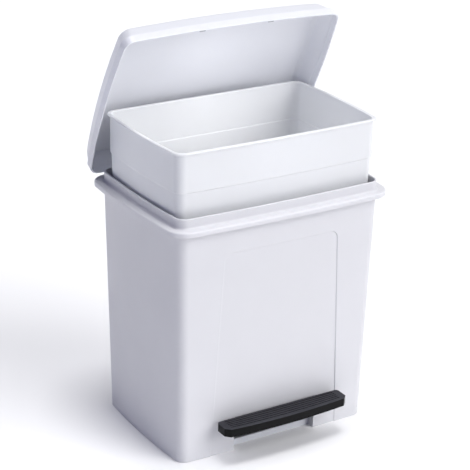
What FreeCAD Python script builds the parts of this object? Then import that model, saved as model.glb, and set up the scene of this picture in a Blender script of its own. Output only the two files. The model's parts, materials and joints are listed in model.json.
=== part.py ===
"""Pedal trash can: a tapered plastic shell, a hinged lid, a lift-out bucket and a pedal that opens the lid.

Millimetres, +Z up, front towards -Y. The origin is on the floor, under the middle of the shell.
The model stands with its lid open, its bucket lifted out by most of the collar's height and its pedal down.
"""
import FreeCAD, Part
import math
import os

os.makedirs("parts", exist_ok=True)
Vec = FreeCAD.Vector
X_AXIS = Vec(1, 0, 0)
Y_AXIS = Vec(0, 1, 0)
Z_AXIS = Vec(0, 0, 1)

# --- shell ---------------------------------------------------------------------------------------
BASE_HALF_W = 176.0
BASE_HALF_D = 121.0
TOP_HALF_W = 184.0
TOP_HALF_D = 128.0
CORNER_R = 17.0
SIDE_BOW = 4.5
FRONT_BOW = 3.8
SHELL_BOTTOM = 0.4
SHELL_WALL = 3.0
FLANGE_BOTTOM = 395.4
FLANGE_TOP = 404.0
FLANGE_OUT = 15.7
FLANGE_WALL = 2.6
COLLAR_TOP = 419.3

# --- recessed panel on the front -----------------------------------------------------------------
PANEL_DEPTH = 1.3
PANEL_TOP = 350.5
PANEL_HALF_TOP = 104.0
PANEL_HALF_BOTTOM = 120.5
PANEL_CORNER_R = 14.0

# --- pocket under the pedal ----------------------------------------------------------------------
POCKET_HALF_W = 76.5
POCKET_TOP = 60.3
POCKET_DEPTH = 12.0
POCKET_WALL = 2.4
SILL_TOP = 10.5
SILL_GAP = 0.5
SILL_WALL = 2.5

# --- base plate and its screws -------------------------------------------------------------------
PLATE_BOTTOM = 0.0
PLATE_TOP = 3.0
PLATE_GAP = 0.5
BOSS_X = 150.0
BOSS_Y = 95.0
BOSS_BOTTOM = 3.2
BOSS_TOP = 26.0
SCREW_X = 160.0
SCREW_Y = 105.0
SCREW_R = 1.75
SCREW_HEAD_R = 3.4
SCREW_HEAD_H = 1.4
SCREW_SINK = 1.6
SCREW_SHORT = 4.0
TIGHT = 0.02

# --- hinge and lid -------------------------------------------------------------------------------
HINGE_Y = 147.0
HINGE_Z = 405.0
HINGE_X = 112.0
KNUCKLE_R = 6.0
KNUCKLE_HALF = 5.5
EAR_INNER = 6.0
EAR_OUTER = 14.0
EAR_FOOT = 6.0
EAR_GAP = 0.8
PIN_R = 2.0
LID_OPEN_DEG = 62.8
LID_RIM_Z = 404.6
LID_HALF_W = 195.4
LID_LENGTH = 284.3
LID_CORNER_R = 18.0
LID_SIDE_BOW = 5.9
LID_FRONT_BOW = 4.9
LID_HEIGHT = 44.4
LID_WALL = 2.3
LID_BAND = 14.0
LID_STEP = 2.0
LID_PANEL_INSET = 15.0
LID_REAR_INSET = 3.5

# --- bucket --------------------------------------------------------------------------------------
BUCKET_RIM_Z = 519.6
BUCKET_Y = -1.2
RIM_HALF_W = 183.9
RIM_HALF_D = 117.7
RIM_THICK = 3.6
RIM_OUT = 3.9
BUCKET_BAND = 64.0
BUCKET_STEP = 1.6
BUCKET_TAPER = 9.0
BUCKET_HEIGHT = 343.0
BUCKET_WALL = 2.4
BUCKET_FLOOR = 2.8

# --- pedal lever, tread and axle -----------------------------------------------------------------
AXLE_Y = -15.0
AXLE_Z = 52.0
AXLE_R = 4.0
AXLE_HALF = 80.0
BARREL_R = 9.0
BARREL_HALF = 58.0
POST_IN = 60.0
POST_OUT = 70.0
POST_HALF_D = 14.0
CLIP_R = 7.5
CLIP_GAP = 0.3
CLIP_THICK = 2.0
LEVER_HALF_FRONT = 70.0
LEVER_HALF_WEB = 54.0
LEVER_HALF_REAR = 14.0
LEVER_THICK = 4.5
LEVER_REAR_Y = 117.0
TREAD_HALF_W = 115.5
TREAD_BACK = -132.0
TREAD_FRONT = -170.0
TREAD_TOP = 65.5
TREAD_HEIGHT = 13.5
TREAD_WALL = 2.6
TREAD_EDGE = 2.5
TREAD_BOW = 5.5
TREAD_END = 8.0
TREAD_BACK_R = 6.0
GROOVES = 5
GROOVE_WIDE = 1.3
GROOVE_DEEP = 1.2
GROOVE_END = 12.0
TREAD_POST_R = 4.5
TREAD_SCREW_X = 45.0
TREAD_SCREW_Y = -149.0
TREAD_SCREW_LENGTH = 8.0
BEND_Y = -100.0
BEND_Z = 30.0
WALL_Y = -126.0
WALL_Z = 31.5
RISER_Y = -135.4
RISER_Z = 38.0
PLATFORM_Z = 53.5
PLATFORM_THICK = 4.0
PLATFORM_FRONT = TREAD_FRONT + 7.0
RIB_THICK = 2.5
PAD_HEIGHT = 3.0
PAD_HALF_W = 6.0

# --- push rod ------------------------------------------------------------------------------------
ROD_R = 2.0
ROD_LOW = Vec(0, 115.8, 64.0)
ROD_HIGH = Vec(0, 121.9, 402.0)
FOOT_DROP = 6.0
FOOT_R = 4.0
FOOT_HEIGHT = 12.0
GUIDE_HALF_W = 16.0
GUIDE_HALF_H = 8.0
GUIDE_NOSE = 7.0
GUIDE_WALL = 1.7
GUIDE_SCREW_X = 11.5
GUIDE_SCREW_R = 1.2
CRANK_R = 25.5
CRANK_BAR_R = 2.5
CRANK_HALF_W = 4.0
CRANK_GAP = 1.2
CAP_HALF_W = 4.5
SLOT_HALF_W = 8.0
CRANK_BACK = HINGE_Y - 4.9
CRANK_SCREW_X = 11.0
CRANK_SCREW_Z = HINGE_Z + 22.0
CRANK_SCREW_R = 1.5
CRANK_PLATE = 2.4
LEVER_GAP = 0.8

BEYOND = 60.0


# --- helpers -------------------------------------------------------------------------------------
def save(name, shape):
    """Write one sub-part, after checking that it is made of closed, valid solids."""
    if not shape.isValid() or not shape.Solids or shape.Volume <= 0:
        raise ValueError(name + " is not a valid solid")
    print(name, len(shape.Solids), round(shape.Volume / 1000.0, 2), "cm3")
    shape.exportStep("parts/" + name + ".step")


def box(low_x, high_x, low_y, high_y, low_z, high_z):
    """A block between two corners."""
    return Part.makeBox(high_x - low_x, high_y - low_y, high_z - low_z, Vec(low_x, low_y, low_z))


def rod_x(radius, low_x, high_x, y, z):
    """A round bar along X."""
    return Part.makeCylinder(radius, high_x - low_x, Vec(low_x, y, z), X_AXIS)


def outline(half_w, front_y, back_y, radius, z, side_bow, front_bow):
    """A rounded rectangle whose sides and front swell outwards. Its back is straight."""
    mid_y = (front_y + back_y) / 2.0
    cut = radius * (1.0 - math.sqrt(0.5))
    points = [
        Vec(-half_w + radius, front_y, z),
        Vec(0, front_y - front_bow, z),
        Vec(half_w - radius, front_y, z),
        Vec(half_w - cut, front_y + cut, z),
        Vec(half_w, front_y + radius, z),
        Vec(half_w + side_bow, mid_y, z),
        Vec(half_w, back_y - radius, z),
        Vec(half_w - cut, back_y - cut, z),
        Vec(half_w - radius, back_y, z),
        Vec(-half_w + radius, back_y, z),
        Vec(-half_w + cut, back_y - cut, z),
        Vec(-half_w, back_y - radius, z),
        Vec(-half_w - side_bow, mid_y, z),
        Vec(-half_w, front_y + radius, z),
        Vec(-half_w + cut, front_y + cut, z),
    ]
    edges = []
    for first in (0, 2, 4, 6):
        edges.append(Part.Arc(points[first], points[first + 1], points[first + 2]).toShape())
    edges.append(Part.LineSegment(points[8], points[9]).toShape())
    for first in (9, 11, 13):
        last = (first + 2) % len(points)
        edges.append(Part.Arc(points[first], points[first + 1], points[last]).toShape())
    return Part.Wire(edges)


def tapered(wires):
    """A closed solid with straight walls from each outline to the next."""
    return Part.makeLoft(wires, True, True)


def shell_outline(z, out=0.0):
    """The shell's tapered outline at a height, moved outwards by a distance."""
    share = min(z, FLANGE_BOTTOM) / FLANGE_BOTTOM
    half_w = BASE_HALF_W + (TOP_HALF_W - BASE_HALF_W) * share + out
    half_d = BASE_HALF_D + (TOP_HALF_D - BASE_HALF_D) * share + out
    return outline(half_w, -half_d, half_d, CORNER_R + out, z, SIDE_BOW, FRONT_BOW)


def shell_block(low_z, high_z, out=0.0):
    """The shell's outer form as a solid, between two heights."""
    heights = [low_z]
    if low_z < FLANGE_BOTTOM < high_z:
        heights.append(FLANGE_BOTTOM)
    heights.append(high_z)
    return tapered([shell_outline(z, out) for z in heights])


def screw(x, y, head_z, length, up=1.0):
    """A pan-head screw whose shank runs along Z from its head."""
    direction = Vec(0, 0, up)
    shank = Part.makeCylinder(SCREW_R, length, Vec(x, y, head_z), direction)
    head = Part.makeCylinder(SCREW_HEAD_R, SCREW_HEAD_H, Vec(x, y, head_z), Vec(0, 0, -up))
    return shank.fuse(head).removeSplitter()


def four_corners(x, y):
    """The four places that mirror one another about the middle."""
    return [(-x, -y), (x, -y), (-x, y), (x, y)]


# --- shell ---------------------------------------------------------------------------------------
def front_panel_prism():
    """The recessed panel's outline, carried through the front wall."""
    bottom = -BEYOND
    slope = (PANEL_HALF_BOTTOM - PANEL_HALF_TOP) / PANEL_TOP
    half_low = PANEL_HALF_BOTTOM - slope * bottom
    corner = PANEL_CORNER_R
    half_side = PANEL_HALF_TOP + slope * corner
    inset = corner * (1.0 - math.sqrt(0.5))
    y = -TOP_HALF_D - BEYOND
    points = [
        Vec(-half_low, y, bottom),
        Vec(-half_side, y, PANEL_TOP - corner),
        Vec(-PANEL_HALF_TOP + inset, y, PANEL_TOP - inset),
        Vec(-PANEL_HALF_TOP + corner, y, PANEL_TOP),
        Vec(PANEL_HALF_TOP - corner, y, PANEL_TOP),
        Vec(PANEL_HALF_TOP - inset, y, PANEL_TOP - inset),
        Vec(half_side, y, PANEL_TOP - corner),
        Vec(half_low, y, bottom),
    ]
    edges = [
        Part.LineSegment(points[0], points[1]).toShape(),
        Part.Arc(points[1], points[2], points[3]).toShape(),
        Part.LineSegment(points[3], points[4]).toShape(),
        Part.Arc(points[4], points[5], points[6]).toShape(),
        Part.LineSegment(points[6], points[7]).toShape(),
        Part.LineSegment(points[7], points[0]).toShape(),
    ]
    return Part.Face(Part.Wire(edges)).extrude(Vec(0, TOP_HALF_D + BEYOND, 0))


def flange():
    """The shelf round the shell's top, with its down-turned lip."""
    top = shell_block(FLANGE_BOTTOM, FLANGE_TOP, FLANGE_OUT)
    hollow = shell_block(FLANGE_BOTTOM - 1.0, FLANGE_TOP - FLANGE_WALL, FLANGE_OUT - FLANGE_WALL)
    core = shell_block(FLANGE_BOTTOM - 2.0, FLANGE_TOP + 2.0, -0.5)
    return top.cut(hollow).cut(core)


def hinge_ears(side):
    """The two ears on the flange that hold one hinge pin."""
    ears = []
    for low, high in ((-EAR_OUTER, -EAR_INNER), (EAR_INNER, EAR_OUTER)):
        middle = side * HINGE_X
        ear = rod_x(KNUCKLE_R, middle + low, middle + high, HINGE_Y, HINGE_Z)
        foot = box(middle + low, middle + high, TOP_HALF_D - 1.0, HINGE_Y + KNUCKLE_R,
                   FLANGE_BOTTOM - EAR_FOOT, HINGE_Z)
        ears.append(ear.fuse(foot))
    return ears[0].fuse(ears[1])


def outer_shell():
    """The body: tapered wall, flange, collar, front panel, pedal pocket, corner bosses and hinge ears."""
    whole = shell_block(SHELL_BOTTOM, COLLAR_TOP)
    inside = shell_block(SHELL_BOTTOM - 1.0, COLLAR_TOP + 1.0, -SHELL_WALL)
    skin = whole.cut(shell_block(SHELL_BOTTOM - 1.0, COLLAR_TOP + 1.0, -PANEL_DEPTH))
    wall = whole.cut(inside).cut(skin.common(front_panel_prism()))

    pocket = box(-POCKET_HALF_W, POCKET_HALF_W, -BASE_HALF_D - BEYOND, -BASE_HALF_D + POCKET_DEPTH + 1.0,
                 SHELL_BOTTOM - 1.0, POCKET_TOP)
    cheek = box(-POCKET_HALF_W - POCKET_WALL, POCKET_HALF_W + POCKET_WALL, -BASE_HALF_D - BEYOND,
                -BASE_HALF_D + POCKET_DEPTH, SHELL_BOTTOM, POCKET_TOP + POCKET_WALL)
    inner_face = shell_block(SHELL_BOTTOM - 1.0, COLLAR_TOP, -PANEL_DEPTH - 0.5)
    cheek = cheek.common(inner_face)
    body = wall.fuse(cheek).cut(pocket).fuse(flange())

    for x, y in four_corners(SCREW_X, SCREW_Y):
        side_x = math.copysign(1.0, x)
        side_y = math.copysign(1.0, y)
        xs = sorted((side_x * BOSS_X, side_x * TOP_HALF_W))
        ys = sorted((side_y * BOSS_Y, side_y * TOP_HALF_D))
        boss = box(xs[0], xs[1], ys[0], ys[1], BOSS_BOTTOM, BOSS_TOP)
        boss = boss.common(shell_block(SHELL_BOTTOM, COLLAR_TOP, -1.0))
        body = body.fuse(boss)
        body = body.cut(Part.makeCylinder(SCREW_R + TIGHT, BOSS_TOP, Vec(x, y, 0), Z_AXIS))

    for side in (-1.0, 1.0):
        body = body.fuse(hinge_ears(side).cut(shell_block(0.0, COLLAR_TOP + 1.0, -1.0)))
        middle = side * HINGE_X
        body = body.cut(rod_x(KNUCKLE_R + EAR_GAP, middle - EAR_INNER, middle + EAR_INNER, HINGE_Y, HINGE_Z))
        body = body.cut(rod_x(PIN_R + TIGHT, middle - EAR_OUTER - 1.0, middle + EAR_OUTER + 1.0,
                              HINGE_Y, HINGE_Z))

    slot = box(-SLOT_HALF_W, SLOT_HALF_W, TOP_HALF_D - 12.0, HINGE_Y - 5.4, FLANGE_BOTTOM - 30.0,
               COLLAR_TOP + 1.0)
    return body.cut(slot).removeSplitter()


# --- base ----------------------------------------------------------------------------------------
def base_plate():
    """The floor of the shell, with the pocket's sill and the two posts that hold the pedal axle."""
    plate = tapered([
        shell_outline(PLATE_BOTTOM, -SHELL_WALL - PLATE_GAP),
        shell_outline(PLATE_TOP, -SHELL_WALL - PLATE_GAP),
    ])
    sill_y = -BASE_HALF_D + POCKET_DEPTH
    plate = plate.cut(box(-POCKET_HALF_W - POCKET_WALL - 1.0, POCKET_HALF_W + POCKET_WALL + 1.0,
                          -BASE_HALF_D - BEYOND, sill_y + SILL_GAP, PLATE_BOTTOM, SILL_TOP))
    sill = box(-POCKET_HALF_W, POCKET_HALF_W, sill_y + SILL_GAP, sill_y + SILL_GAP + SILL_WALL,
               SHELL_BOTTOM, SILL_TOP)
    plate = plate.fuse(sill)
    for side in (-1.0, 1.0):
        xs = sorted((side * POST_IN, side * POST_OUT))
        post = box(xs[0], xs[1], AXLE_Y - POST_HALF_D, AXLE_Y + POST_HALF_D, PLATE_TOP - 1.0, AXLE_Z)
        crown = rod_x(BARREL_R, xs[0], xs[1], AXLE_Y, AXLE_Z)
        plate = plate.fuse(post.fuse(crown))
    plate = plate.cut(rod_x(AXLE_R + TIGHT, -AXLE_HALF, AXLE_HALF, AXLE_Y, AXLE_Z))
    for x, y in four_corners(SCREW_X, SCREW_Y):
        plate = plate.cut(Part.makeCylinder(SCREW_R + TIGHT, SILL_TOP, Vec(x, y, 0), Z_AXIS))
        plate = plate.cut(Part.makeCylinder(SCREW_HEAD_R + 0.2, SCREW_SINK + 1.0, Vec(x, y, -1.0), Z_AXIS))
    return plate.removeSplitter()


def base_screws():
    """Four screws from below, through the plate and into the shell's corner bosses."""
    length = BOSS_TOP - SCREW_SINK - SCREW_SHORT
    return Part.makeCompound([
        screw(x, y, SCREW_SINK, length) for x, y in four_corners(SCREW_X, SCREW_Y)
    ])


# --- hinge pins ----------------------------------------------------------------------------------
def hinge_pin(side):
    """A steel pin with a domed outer end."""
    middle = side * HINGE_X
    return rod_x(PIN_R, middle - EAR_OUTER - 0.8, middle + EAR_OUTER + 0.8, HINGE_Y, HINGE_Z)


# --- lid -----------------------------------------------------------------------------------------
def lid_outline(height, inset, rear_inset, gap=0.0):
    """The closed lid's outline at a height above its rim, moved inwards."""
    return outline(LID_HALF_W - inset - gap, HINGE_Y - LID_LENGTH + inset + gap, HINGE_Y - rear_inset - gap,
                   LID_CORNER_R - 0.4 * gap, LID_RIM_Z + height, LID_SIDE_BOW, LID_FRONT_BOW)


def lid_steps(gap, lowest, highest):
    """Outlines from rim to panel: upright band, small step in, sloping wall, rounded edge."""
    slope_top = LID_HEIGHT - 7.0
    steps = [
        (lowest, 0.0, 0.0),
        (LID_BAND - 0.6 * gap, 0.0, 0.0),
        (LID_BAND + LID_STEP - 0.6 * gap, LID_STEP, 1.0),
        (slope_top - 0.6 * gap, 0.62 * LID_PANEL_INSET, 0.7 * LID_REAR_INSET),
        (highest, LID_PANEL_INSET, LID_REAR_INSET),
    ]
    return [lid_outline(height, inset, rear, gap) for height, inset, rear in steps]


def opened(shape):
    """A part of the closed lid, turned open about the hinge."""
    turned = shape.copy()
    turned.rotate(Vec(0, HINGE_Y, HINGE_Z), X_AXIS, -LID_OPEN_DEG)
    return turned


def lid_shell():
    """The pan-shaped lid with a knuckle for each hinge."""
    outer = tapered(lid_steps(0.0, 0.0, LID_HEIGHT))
    inner = tapered(lid_steps(LID_WALL, -1.0, LID_HEIGHT - LID_WALL))
    lid = outer.cut(inner)
    for side in (-1.0, 1.0):
        middle = side * HINGE_X
        room = box(middle - EAR_OUTER - 2.0, middle + EAR_OUTER + 2.0, HINGE_Y - 12.0, HINGE_Y + 3.0,
                   LID_RIM_Z - 1.0, HINGE_Z + KNUCKLE_R + 2.0)
        lid = lid.cut(room)
        knuckle = rod_x(KNUCKLE_R, middle - KNUCKLE_HALF, middle + KNUCKLE_HALF, HINGE_Y, HINGE_Z)
        web = box(middle - KNUCKLE_HALF, middle + KNUCKLE_HALF, HINGE_Y - 5.0, HINGE_Y + 2.0,
                  HINGE_Z, HINGE_Z + LID_BAND + 2.0)
        lid = lid.fuse(knuckle.fuse(web))
        lid = lid.cut(rod_x(PIN_R + 0.05, middle - EAR_OUTER, middle + EAR_OUTER, HINGE_Y, HINGE_Z))
    lid = lid.cut(crank_screw_bores())
    return opened(lid.removeSplitter())


def crank_bar_place():
    """The crank bar's centre on the closed lid: as far below the hinge's level as it rises above it."""
    drop = math.radians(LID_OPEN_DEG / 2.0)
    return Vec(0, HINGE_Y - CRANK_R * math.cos(drop), HINGE_Z - CRANK_R * math.sin(drop))


def lid_crank():
    """The finger inside the lid's rear wall that the push rod lifts, ending in a round bar."""
    bar = crank_bar_place()
    back = CRANK_BACK
    points = [
        Vec(0, bar.y - 1.5, bar.z + 1.0),
        Vec(0, bar.y + 1.5, bar.z - 2.0),
        Vec(0, HINGE_Y - 9.0, HINGE_Z - 0.5),
        Vec(0, HINGE_Y - 6.5, HINGE_Z + 3.5),
        Vec(0, back, HINGE_Z + 5.0),
        Vec(0, back, HINGE_Z + 32.0),
        Vec(0, back - 3.0, HINGE_Z + 32.0),
        Vec(0, HINGE_Y - 15.0, HINGE_Z + 8.0),
    ]
    face = Part.Face(Part.makePolygon(points + [points[0]]))
    face.translate(Vec(-CRANK_HALF_W, 0, 0))
    finger = face.extrude(Vec(2.0 * CRANK_HALF_W, 0, 0))
    finger = finger.fuse(rod_x(CRANK_BAR_R, -CRANK_HALF_W, CRANK_HALF_W, bar.y, bar.z))
    plate = box(-16.0, 16.0, back - CRANK_PLATE, back, HINGE_Z + 14.0, HINGE_Z + 30.0)
    finger = finger.fuse(plate)
    finger = finger.cut(crank_screw_bores())
    return opened(finger.removeSplitter())


def crank_screw_bores():
    """The two screw holes through crank and lid, on the closed lid."""
    bores = [
        Part.makeCylinder(CRANK_SCREW_R + TIGHT, 12.0, Vec(x, CRANK_BACK - 4.0, CRANK_SCREW_Z), Y_AXIS)
        for x in (-CRANK_SCREW_X, CRANK_SCREW_X)
    ]
    return Part.makeCompound(bores)


def crank_screws():
    """Two screws that hold the crank to the lid's rear wall."""
    screws = []
    for x in (-CRANK_SCREW_X, CRANK_SCREW_X):
        head_y = CRANK_BACK - CRANK_PLATE
        shank = Part.makeCylinder(CRANK_SCREW_R, 5.6, Vec(x, head_y, CRANK_SCREW_Z), Y_AXIS)
        head = Part.makeCylinder(2.8, SCREW_HEAD_H, Vec(x, head_y - SCREW_HEAD_H, CRANK_SCREW_Z), Y_AXIS)
        screws.append(opened(shank.fuse(head).removeSplitter()))
    return Part.makeCompound(screws)


def lid_buffer(x):
    """A small stop pad on the inside of the lid's front wall."""
    front = HINGE_Y - LID_LENGTH - LID_FRONT_BOW * (1.0 - (x / LID_HALF_W) ** 2) + LID_WALL + 0.3
    pad = box(x - 5.0, x + 5.0, front, front + 3.0, LID_RIM_Z + 1.5, LID_RIM_Z + 7.5)
    return opened(pad)


# --- bucket --------------------------------------------------------------------------------------
def bucket_outline(z, out):
    """The bucket's outline, measured from its rim's outer edge."""
    return outline(RIM_HALF_W + out, BUCKET_Y - RIM_HALF_D - out, BUCKET_Y + RIM_HALF_D + out,
                   CORNER_R + 0.5 * out, z, SIDE_BOW, FRONT_BOW)


def bucket():
    """The inner bucket: rim, upright band, a small step and a tapered body."""
    top = BUCKET_RIM_Z
    bottom = top - BUCKET_HEIGHT
    band = top - BUCKET_BAND
    rim = tapered([bucket_outline(top - RIM_THICK, 0.0), bucket_outline(top, 0.0)])
    wall = -RIM_OUT
    body = tapered([
        bucket_outline(bottom, wall - BUCKET_STEP - BUCKET_TAPER),
        bucket_outline(band - BUCKET_STEP, wall - BUCKET_STEP),
        bucket_outline(band, wall),
        bucket_outline(top - RIM_THICK + 0.5, wall),
    ])
    inner = wall - BUCKET_WALL
    hollow = tapered([
        bucket_outline(bottom + BUCKET_FLOOR, inner - BUCKET_STEP - BUCKET_TAPER),
        bucket_outline(band - BUCKET_STEP, inner - BUCKET_STEP),
        bucket_outline(band, inner),
        bucket_outline(top + 1.0, inner),
    ])
    return rim.fuse(body).cut(hollow).removeSplitter()


# --- pedal ---------------------------------------------------------------------------------------
def strip(points, half_w):
    """A plate across X whose side view is a closed run of points."""
    corners = [Vec(-half_w, y, z) for y, z in points]
    return Part.Face(Part.makePolygon(corners + [corners[0]])).extrude(Vec(2.0 * half_w, 0, 0))


def rod_foot_point():
    """The lowest point of the push rod's foot."""
    return ROD_LOW - Vec(0, 0, FOOT_DROP)


def pedal_lever():
    """The rocking lever: a wide plate under the tread, a barrel on the axle and a rear arm."""
    half = LEVER_THICK / 2.0
    platform_top = PLATFORM_Z + PLATFORM_THICK
    riser_front = RISER_Y - LEVER_THICK
    plate = strip([(BEND_Y, BEND_Z), (BEND_Y, BEND_Z + LEVER_THICK), (WALL_Y, WALL_Z + LEVER_THICK),
                   (RISER_Y, RISER_Z + LEVER_THICK), (RISER_Y, platform_top), (PLATFORM_FRONT, platform_top),
                   (PLATFORM_FRONT, PLATFORM_Z), (riser_front, PLATFORM_Z), (riser_front, RISER_Z),
                   (WALL_Y, WALL_Z)], LEVER_HALF_FRONT)
    web = strip([(BEND_Y - 4.0, BEND_Z), (BEND_Y, BEND_Z), (AXLE_Y, AXLE_Z - half),
                 (AXLE_Y, AXLE_Z + half), (BEND_Y - 4.0, BEND_Z + LEVER_THICK)], LEVER_HALF_WEB)
    rear_z = rod_foot_point().z - LEVER_GAP - PAD_HEIGHT
    arm = strip([(AXLE_Y, AXLE_Z - half), (LEVER_REAR_Y, rear_z - LEVER_THICK),
                 (LEVER_REAR_Y, rear_z), (LEVER_REAR_Y - 14.0, rear_z), (AXLE_Y, AXLE_Z + half)],
                LEVER_HALF_REAR)
    ribs = []
    for x in (-LEVER_HALF_REAR, LEVER_HALF_REAR - RIB_THICK):
        rib_y = LEVER_REAR_Y - 20.0
        rib = strip([(AXLE_Y, AXLE_Z - 8.0), (rib_y, rear_z - LEVER_THICK - 3.0),
                     (rib_y, rear_z - LEVER_THICK + 1.0), (AXLE_Y, AXLE_Z)], RIB_THICK / 2.0)
        rib.translate(Vec(x + RIB_THICK / 2.0, 0, 0))
        ribs.append(rib)
    barrel = rod_x(BARREL_R, -BARREL_HALF, BARREL_HALF, AXLE_Y, AXLE_Z)
    lever = plate.fuse([web, arm, barrel] + ribs)
    lever = lever.cut(rod_x(AXLE_R + 0.06, -AXLE_HALF, AXLE_HALF, AXLE_Y, AXLE_Z))
    for x in (-TREAD_SCREW_X, TREAD_SCREW_X):
        bore = Part.makeCylinder(SCREW_R + TIGHT, PLATFORM_THICK + 2.0,
                                 Vec(x, TREAD_SCREW_Y, PLATFORM_Z - 1.0), Z_AXIS)
        lever = lever.cut(bore)
    return lever.removeSplitter()


def tread_outline(z, inset):
    """The tread from above: round back corners, a bowed front edge and cut-back front corners."""
    half = TREAD_HALF_W - inset
    back = TREAD_BACK - inset
    front = TREAD_FRONT + inset
    radius = TREAD_BACK_R - inset
    cut = radius * (1.0 - math.sqrt(0.5))
    corner = Vec(half, front + TREAD_END + TREAD_BOW, z)
    edge_y = front + TREAD_BOW
    edges = [
        Part.LineSegment(Vec(-half + radius, back, z), Vec(half - radius, back, z)).toShape(),
        Part.Arc(Vec(half - radius, back, z), Vec(half - cut, back - cut, z),
                 Vec(half, back - radius, z)).toShape(),
        Part.LineSegment(Vec(half, back - radius, z), corner).toShape(),
        Part.LineSegment(corner, Vec(half - TREAD_END, edge_y, z)).toShape(),
        Part.Arc(Vec(half - TREAD_END, edge_y, z), Vec(0, front, z),
                 Vec(-half + TREAD_END, edge_y, z)).toShape(),
        Part.LineSegment(Vec(-half + TREAD_END, edge_y, z), Vec(-half, corner.y, z)).toShape(),
        Part.LineSegment(Vec(-half, corner.y, z), Vec(-half, back - radius, z)).toShape(),
        Part.Arc(Vec(-half, back - radius, z), Vec(-half + cut, back - cut, z),
                 Vec(-half + radius, back, z)).toShape(),
    ]
    return Part.Wire(edges)


def pedal_tread():
    """The foot pedal: a hollow black cap with grooves along its top and two screw posts inside."""
    low = TREAD_TOP - TREAD_HEIGHT
    cap = tapered([tread_outline(low, 0.0), tread_outline(TREAD_TOP - TREAD_EDGE, 0.0),
                   tread_outline(TREAD_TOP, TREAD_EDGE)])
    hollow = tapered([tread_outline(low - 1.0, TREAD_WALL),
                      tread_outline(TREAD_TOP - TREAD_WALL - 2.0, TREAD_WALL)])
    tread = cap.cut(hollow)
    pitch = (TREAD_BACK - TREAD_FRONT - TREAD_BOW - 6.0) / GROOVES
    end = TREAD_HALF_W - GROOVE_END
    for number in range(GROOVES):
        y = TREAD_BACK - 5.0 - pitch * number
        tread = tread.cut(box(-end, end, y - GROOVE_WIDE, y, TREAD_TOP - GROOVE_DEEP, TREAD_TOP + 1.0))
    post_low = PLATFORM_Z + PLATFORM_THICK + 0.2
    post_height = TREAD_TOP - TREAD_WALL - post_low
    for x in (-TREAD_SCREW_X, TREAD_SCREW_X):
        post = Part.makeCylinder(TREAD_POST_R, post_height, Vec(x, TREAD_SCREW_Y, post_low), Z_AXIS)
        bore = Part.makeCylinder(SCREW_R + TIGHT, TREAD_SCREW_LENGTH - PLATFORM_THICK + 0.4,
                                 Vec(x, TREAD_SCREW_Y, post_low), Z_AXIS)
        tread = tread.fuse(post).cut(bore)
    return tread.removeSplitter()


def tread_screws():
    """Two screws from below, through the lever and into the tread."""
    return Part.makeCompound([
        screw(x, TREAD_SCREW_Y, PLATFORM_Z, TREAD_SCREW_LENGTH) for x in (-TREAD_SCREW_X, TREAD_SCREW_X)
    ])


def lever_pad():
    """A nylon pad on the end of the rear arm, under the push rod."""
    top = rod_foot_point().z - LEVER_GAP
    return box(-PAD_HALF_W, PAD_HALF_W, LEVER_REAR_Y - 12.0, LEVER_REAR_Y - 0.5, top - PAD_HEIGHT, top)


def pedal_axle():
    """The steel axle across the base plate's posts."""
    return rod_x(AXLE_R, -AXLE_HALF + 2.0, AXLE_HALF - 2.0, AXLE_Y, AXLE_Z)


def axle_clip(side):
    """A retaining washer pushed on the axle's end."""
    inner = POST_OUT + CLIP_GAP
    xs = sorted((side * inner, side * (inner + CLIP_THICK)))
    ring = rod_x(CLIP_R, xs[0], xs[1], AXLE_Y, AXLE_Z)
    return ring.cut(rod_x(AXLE_R + TIGHT, xs[0] - 1.0, xs[1] + 1.0, AXLE_Y, AXLE_Z))


# --- push rod ------------------------------------------------------------------------------------
def rod_direction():
    """The way the rod slides: up, leaning back as the rear wall does."""
    return (ROD_HIGH - ROD_LOW).normalize()


def push_rod():
    """The steel rod behind the bucket."""
    length = (ROD_HIGH - ROD_LOW).Length
    return Part.makeCylinder(ROD_R, length, ROD_LOW, rod_direction())


def rod_cap():
    """The nylon cap on the rod's top end, flat where the crank bar rests."""
    bar = opened(Part.Vertex(crank_bar_place())).Point
    top = bar.z - CRANK_BAR_R - CRANK_GAP
    cap = box(-CAP_HALF_W, CAP_HALF_W, ROD_HIGH.y - 3.6, ROD_HIGH.y + 6.6, ROD_HIGH.z - 4.0, top)
    return cap.cut(push_rod())


def rod_foot():
    """The nylon foot on the rod's bottom end."""
    low = rod_foot_point()
    body = Part.makeCylinder(FOOT_R, FOOT_HEIGHT, low, Z_AXIS)
    flat = box(-FOOT_R, FOOT_R, low.y - FOOT_R, low.y + 2.6, low.z, low.z + FOOT_HEIGHT)
    return body.common(flat).cut(push_rod())


def rod_y(z):
    """How far back the rod's centre is at a height."""
    share = (z - ROD_LOW.z) / (ROD_HIGH.z - ROD_LOW.z)
    return ROD_LOW.y + (ROD_HIGH.y - ROD_LOW.y) * share


def rod_guide(z):
    """A plastic guide on the rear wall, which the rod slides through: a nose between two screw ears."""
    y = rod_y(z)
    nose_y = y - ROD_R - GUIDE_WALL
    low, high = z - GUIDE_HALF_H, z + GUIDE_HALF_H
    nose = box(-GUIDE_NOSE, GUIDE_NOSE, nose_y, TOP_HALF_D, low, high)
    ears = box(-GUIDE_HALF_W, GUIDE_HALF_W, y + 1.0, TOP_HALF_D, low, high)
    block = nose.fuse(ears).common(shell_block(SHELL_BOTTOM, COLLAR_TOP, -SHELL_WALL - 0.1))
    bore = Part.makeCylinder(ROD_R + 0.08, ROD_HIGH.z, ROD_LOW, rod_direction())
    return block.cut(bore).removeSplitter()


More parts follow.
